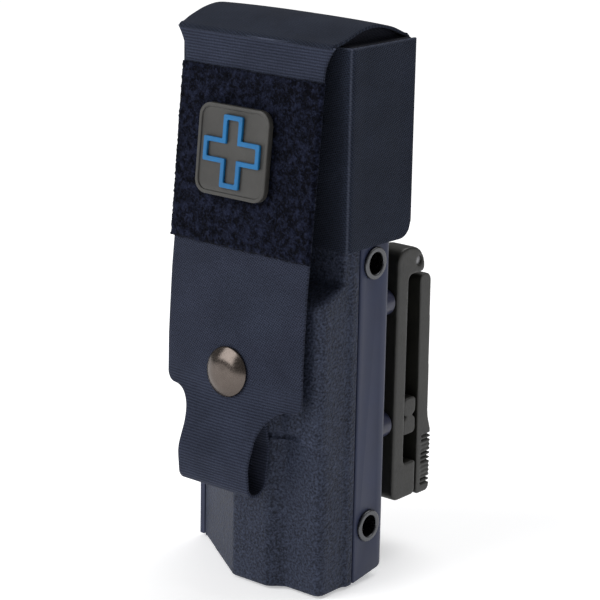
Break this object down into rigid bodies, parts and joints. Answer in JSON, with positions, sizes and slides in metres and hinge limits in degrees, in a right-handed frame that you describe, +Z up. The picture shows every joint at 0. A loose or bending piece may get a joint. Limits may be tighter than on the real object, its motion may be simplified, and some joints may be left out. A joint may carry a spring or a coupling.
{
  "type": "tourniquet",
  "caption": "Rigid belt case holding a folded windlass tourniquet, with a hinged fabric hood, a snap strap with a finger pull loop, a medical plus patch and a locking belt clip",
  "frame": {"origin": "middle of the belt slot in the clip at the back of the case", "axes": "+X across the case along the belt, +Y from the front of the case to the clip, +Z up along the case"},
  "size_m": [0.0636, 0.0728, 0.1663],
  "materials": {
    "shell": "grained",
    "fabric": "woven",
    "loop": "napped",
    "patch": "satin",
    "cross": "satin",
    "clip": "satin",
    "spacer": "smooth",
    "steel": "satin",
    "gunmetal": "semi gloss",
    "webbing": "woven",
    "hardware": "satin"
  },
  "bodies": {
    "case": {"front_shell": "shell", "rear_shell": "shell", "hood_back": "fabric", "hood_anchor": "fabric", "clip_frame": "clip", "belt_bars": "clip", "clip_spacers": "spacer", "clip_screws": "steel", "clip_nuts": "steel", "clip_hinge_pin": "steel", "side_eyelets": "gunmetal", "snap_stud": "gunmetal", "hood_rivets": "gunmetal", "tq_strap": "webbing", "tq_inner_band": "webbing", "tq_strap_tip": "webbing", "tq_time_strap": "webbing", "tq_stabilizer": "hardware", "tq_windlass": "hardware", "tq_rod_clip": "hardware", "tq_buckle": "hardware"},
    "hood": {"hood_side_right": "fabric", "hood_side_left": "fabric", "hood_front": "fabric", "hood_top": "fabric", "hood_gussets": "fabric"},
    "strap": {"front_strap": "fabric", "loop_field": "loop", "patch_backing": "loop", "patch_base": "patch", "patch_cross": "cross", "snap_cap": "gunmetal", "snap_socket": "gunmetal"},
    "gate": {"clip_gate": "clip"},
    "lock": {"lock_slide": "clip"}
  },
  "joints": [
    {"name": "hood_hinge", "type": "hinge", "parent": "case", "child": "hood", "pos_m": [0, -0.0109, 0.0919], "axis": [-1, 0, 0], "range_deg": [0, 135]},
    {"name": "strap_lift", "type": "hinge", "parent": "hood", "child": "strap", "pos_m": [0, -0.04422, 0.0919], "axis": [-1, 0, 0], "range_deg": [0, 90]},
    {"name": "gate_hinge", "type": "hinge", "parent": "case", "child": "gate", "pos_m": [0, 0.0017, 0.0232], "axis": [1, 0, 0], "range_deg": [0, 35]},
    {"name": "lock_slide", "type": "slide", "parent": "gate", "child": "lock", "axis": [0, 0, 1], "range_m": [0, 0.003]}
  ]
}
